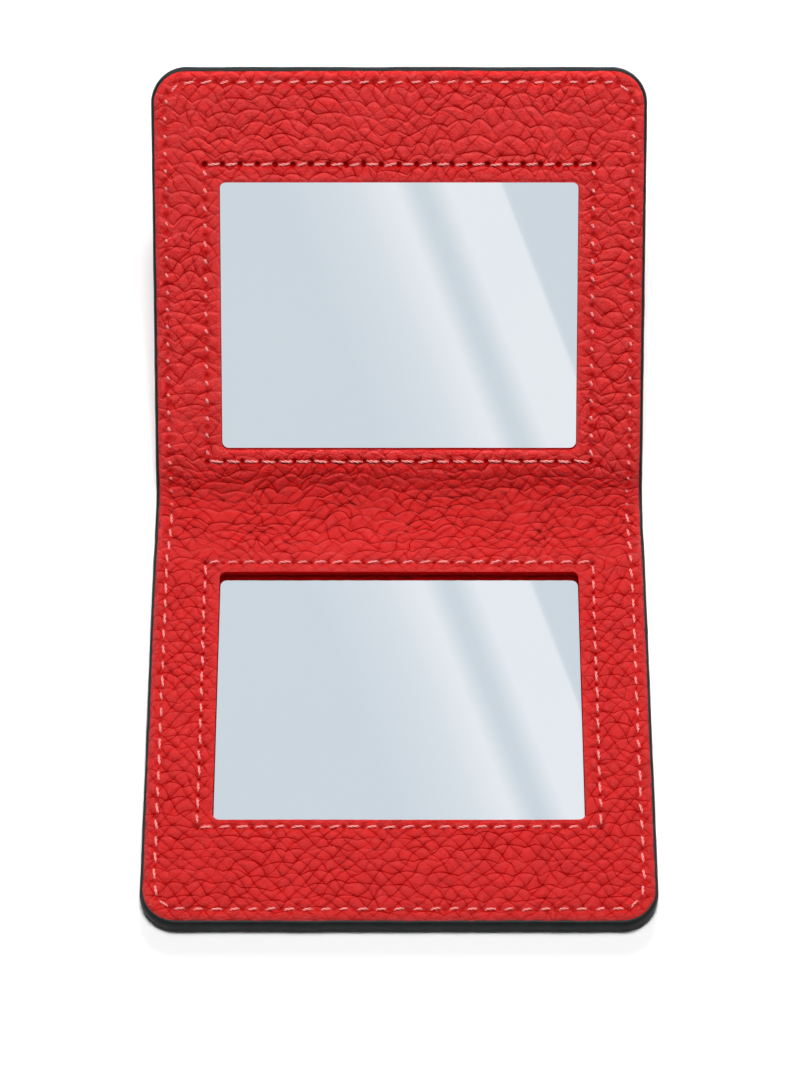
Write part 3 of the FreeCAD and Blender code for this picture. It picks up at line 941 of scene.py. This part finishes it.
for leaf, side in (("front", -1), ("back", 1)):
    path = round_the_leaf(cut_half_width, cut_end, cut_radius, side, paint_step)
    ahead = np.gradient(path, axis=0)
    ahead = ahead / np.linalg.norm(ahead, axis=1, keepdims=True)
    outward = np.stack([-ahead[:, 1], ahead[:, 0]], axis=-1) * side
    rim_d = lining_rest(path[:, 1]) - rim_drop + 0.05 * soft_noise(path[:, 0], path[:, 1], 2.0, 41)
    bulge = edge_bulge * (0.93 + 0.07 * soft_noise(path[:, 0], path[:, 1], 3.0, 42))
    overlap = 0.05 + 0.05 * soft_noise(path[:, 0], path[:, 1], 1.3, 43)
    out = dome_out * bulge[:, None] - (dome_up**8) * overlap[:, None]
    up = paint_foot + dome_up * (rim_d[:, None] - paint_foot)
    tuck_out = np.stack([-overlap - tuck, np.full(len(path), -tuck)], axis=-1)
    tuck_up = np.stack([rim_d - tuck, np.full(len(path), tuck_foot)], axis=-1)
    out = np.concatenate([out, tuck_out], axis=1)
    up = np.concatenate([up, tuck_up], axis=1)
    flat = np.empty((*out.shape, 3))
    flat[..., :2] = path[:, None] + outward[:, None] * out[..., None]
    flat[..., 2] = up
    faces = tube_faces(*out.shape)
    if side > 0:
        faces = [part[:, ::-1] for part in faces]
    bead = mesh_piece(f"{leaf}_painted_edge", folded(flat.reshape(-1, 3)), faces)
    bead.data.materials.append(paint_finish)
    bend_with_fold(bead, side)
    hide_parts(f"{leaf}_edge_paint", "spine_edge_paint")


# Floor, lights and camera
# A seamless white table in a pale studio, under one soft light overhead and one behind.
# Three lights show only as a gleam on glossy faces, and two cards give the mirrors their slanting bands.
scene = bpy.context.scene
scene.view_settings.view_transform = "Standard"


def square_sheet(name, half, level=0.0):
    """A flat square sheet of the studio."""
    corners = [(-half, -half, level), (half, -half, level), (half, half, level), (-half, half, level)]
    mesh = bpy.data.meshes.new(name)
    mesh.from_pydata(corners, [], [(0, 1, 2, 3)])
    sheet = bpy.data.objects.new(name, mesh)
    scene.collection.objects.link(sheet)
    return sheet


floor = square_sheet("floor", half=3, level=-0.0001)
floor_finish, tree, shader = new_finish("white_table", Roughness=0.9, Specular_IOR_Level=0.1)
shader.inputs["Base Color"].default_value = (0.56, 0.56, 0.56, 1)
floor.data.materials.append(floor_finish)
floor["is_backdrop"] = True

dim = (0.7, 0.755, 0.8)
glow = (0.78, 0.822, 0.861)
bright = (0.9, 0.916, 0.938)
world = bpy.data.worlds.new("pale_studio")
world.use_nodes = True
scene.world = world
tree = world.node_tree
backdrop = tree.nodes["Background"]
backdrop.inputs["Color"].default_value = (0.92, 0.96, 1.0, 1)
backdrop.inputs["Strength"].default_value = 0.08
seen_in_gloss = node(tree, "Background", {"Color": (*dim, 1), "Strength": 1.0})
ray = node(tree, "LightPath").outputs["Is Glossy Ray"]
either = node(tree, "MixShader", {0: ray, 1: backdrop.outputs[0], 2: seen_in_gloss.outputs[0]})
tree.links.new(either.outputs[0], tree.nodes["World Output"].inputs["Surface"])


def soft_light(name, place, aim, size, power, gleam=False):
    """A round soft light, which either lights the matt surfaces or gives a gleam to the glossy ones."""
    lamp = bpy.data.lights.new(name, "AREA")
    lamp.shape = "DISK"
    lamp.size = size
    lamp.energy = power
    holder = bpy.data.objects.new(name, lamp)
    holder.location = place
    holder.rotation_euler = (Vector(aim) - Vector(place)).to_track_quat("-Z", "Y").to_euler()
    holder.visible_glossy = gleam
    holder.visible_diffuse = not gleam
    scene.collection.objects.link(holder)


middle = Vector((0, mid_line * MM, 0.01))
soft_light("overhead", middle + Vector((0.02, 0.0, 1.0)), middle, size=0.3, power=16.4)
soft_light("behind", middle + Vector((0.04, 0.8, 0.6)), middle, size=0.3, power=7.5)
soft_light("front_gleam", middle + Vector((0, -0.42, 0.9)), middle, size=0.25, power=26.0, gleam=True)
soft_light("left_gleam", middle + Vector((-0.3, 0.52, 0.8)), middle, size=0.25, power=14.0, gleam=True)
soft_light("right_gleam", middle + Vector((0.3, 0.52, 0.8)), middle, size=0.25, power=14.0, gleam=True)


def window_card(name, place, aim, size, hand, stops):
    """A bright card with slanting bands, seen only in gloss. hand is the way its bands run across it."""
    band_slope = 0.39
    half = size / 2
    card = square_sheet(name, half)
    card.location = place
    card.rotation_euler = (Vector(aim) - Vector(place)).to_track_quat("Z", "Y").to_euler()
    card.visible_camera = False
    card.visible_diffuse = False
    card.visible_shadow = False
    finish, tree, shader = new_finish(name)
    tree.nodes.remove(shader)
    spot = node(tree, "TexCoord").outputs["Object"]
    apart = node(tree, "SeparateXYZ", {0: spot}).outputs
    slope = combined(tree, "MULTIPLY", apart["Y"], band_slope * hand)
    lean = combined(tree, "MULTIPLY_ADD", apart["X"], -hand, slope)
    tone = node(tree, "ValToRGB", {"Fac": graded(tree, lean, -half, half, 0.0, 1.0)})
    ramp = tone.color_ramp.elements
    ramp.remove(ramp[1])
    ramp[0].position = stops[0][0]
    ramp[0].color = (*stops[0][1], 1)
    for position, colour in stops[1:]:
        ramp.new(position).color = (*colour, 1)
    light = node(tree, "Emission", {"Color": tone.outputs["Color"]})
    tree.links.new(light.outputs[0], tree.nodes["Material Output"].inputs["Surface"])
    card.data.materials.append(finish)
    card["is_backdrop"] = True


bands = [(0.42, dim), (0.488, glow), (0.53, bright), (0.55, dim), (0.56, dim)]
bands += [(0.582, bright), (0.634, bright), (0.637, dim)]
window_card("front_card", (-0.005, 0.32, 0.52), (-0.005, 0.0, 0.0), size=0.34, hand=-1, stops=bands)
window_card("back_card", (0.008, -0.4, 0.42), (0.008, 0.06, 0.02), size=0.34, hand=1, stops=bands)

# The camera stands where the photograph's did
eye = bpy.data.cameras.new("photo_camera")
eye.sensor_width = 36.0
eye.lens = 115.74
elevation = math.radians(59.765)
distance = 0.5467
aim = Vector((0.00013, (mid_line + 6.962) * MM, -0.01677))
camera = bpy.data.objects.new("photo_camera", eye)
camera.location = aim + distance * Vector((0, -math.cos(elevation), math.sin(elevation)))
camera.rotation_euler = (math.pi / 2 - elevation, 0, 0)
scene.collection.objects.link(camera)
scene.camera = camera

bpy.context.view_layer.update()
low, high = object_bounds()
